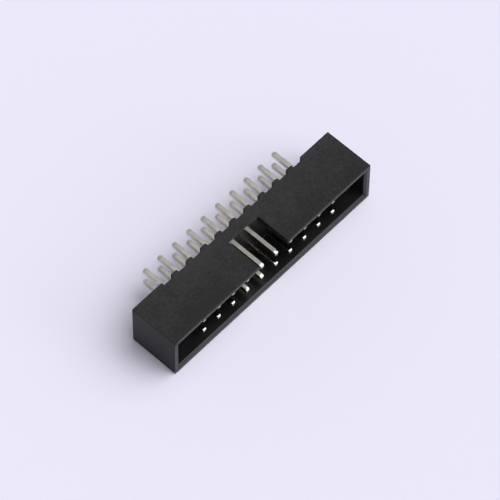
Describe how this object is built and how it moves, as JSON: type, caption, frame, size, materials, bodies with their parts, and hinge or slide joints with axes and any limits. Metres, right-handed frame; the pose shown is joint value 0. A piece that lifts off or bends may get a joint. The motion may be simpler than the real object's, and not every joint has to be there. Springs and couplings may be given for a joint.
{
  "type": "box header",
  "caption": "Box header for a flat ribbon cable: square pins in two rows inside a moulded shroud with a key slot, and solder tails for a circuit board.",
  "frame": {"origin": "centre of the seat that rests on the circuit board", "axes": "+X along the rows of pins, +Y out of the board seat along the solder tails, +Z out of the wall with the key slot"},
  "size_m": [0.0274, 0.0086, 0.0056],
  "materials": {
    "housing": "black moulded PBT, satin",
    "pins": "tin-plated brass, satin bright"
  },
  "bodies": {
    "root": {"housing": "housing", "pin_01": "pins", "pin_02": "pins", "pin_03": "pins", "pin_04": "pins", "pin_05": "pins", "pin_06": "pins", "pin_07": "pins", "pin_08": "pins", "pin_09": "pins", "pin_10": "pins", "pin_11": "pins", "pin_12": "pins", "pin_13": "pins", "pin_14": "pins", "pin_15": "pins", "pin_16": "pins", "pin_17": "pins", "pin_18": "pins", "pin_19": "pins", "pin_20": "pins"}
  },
  "joints": []
}
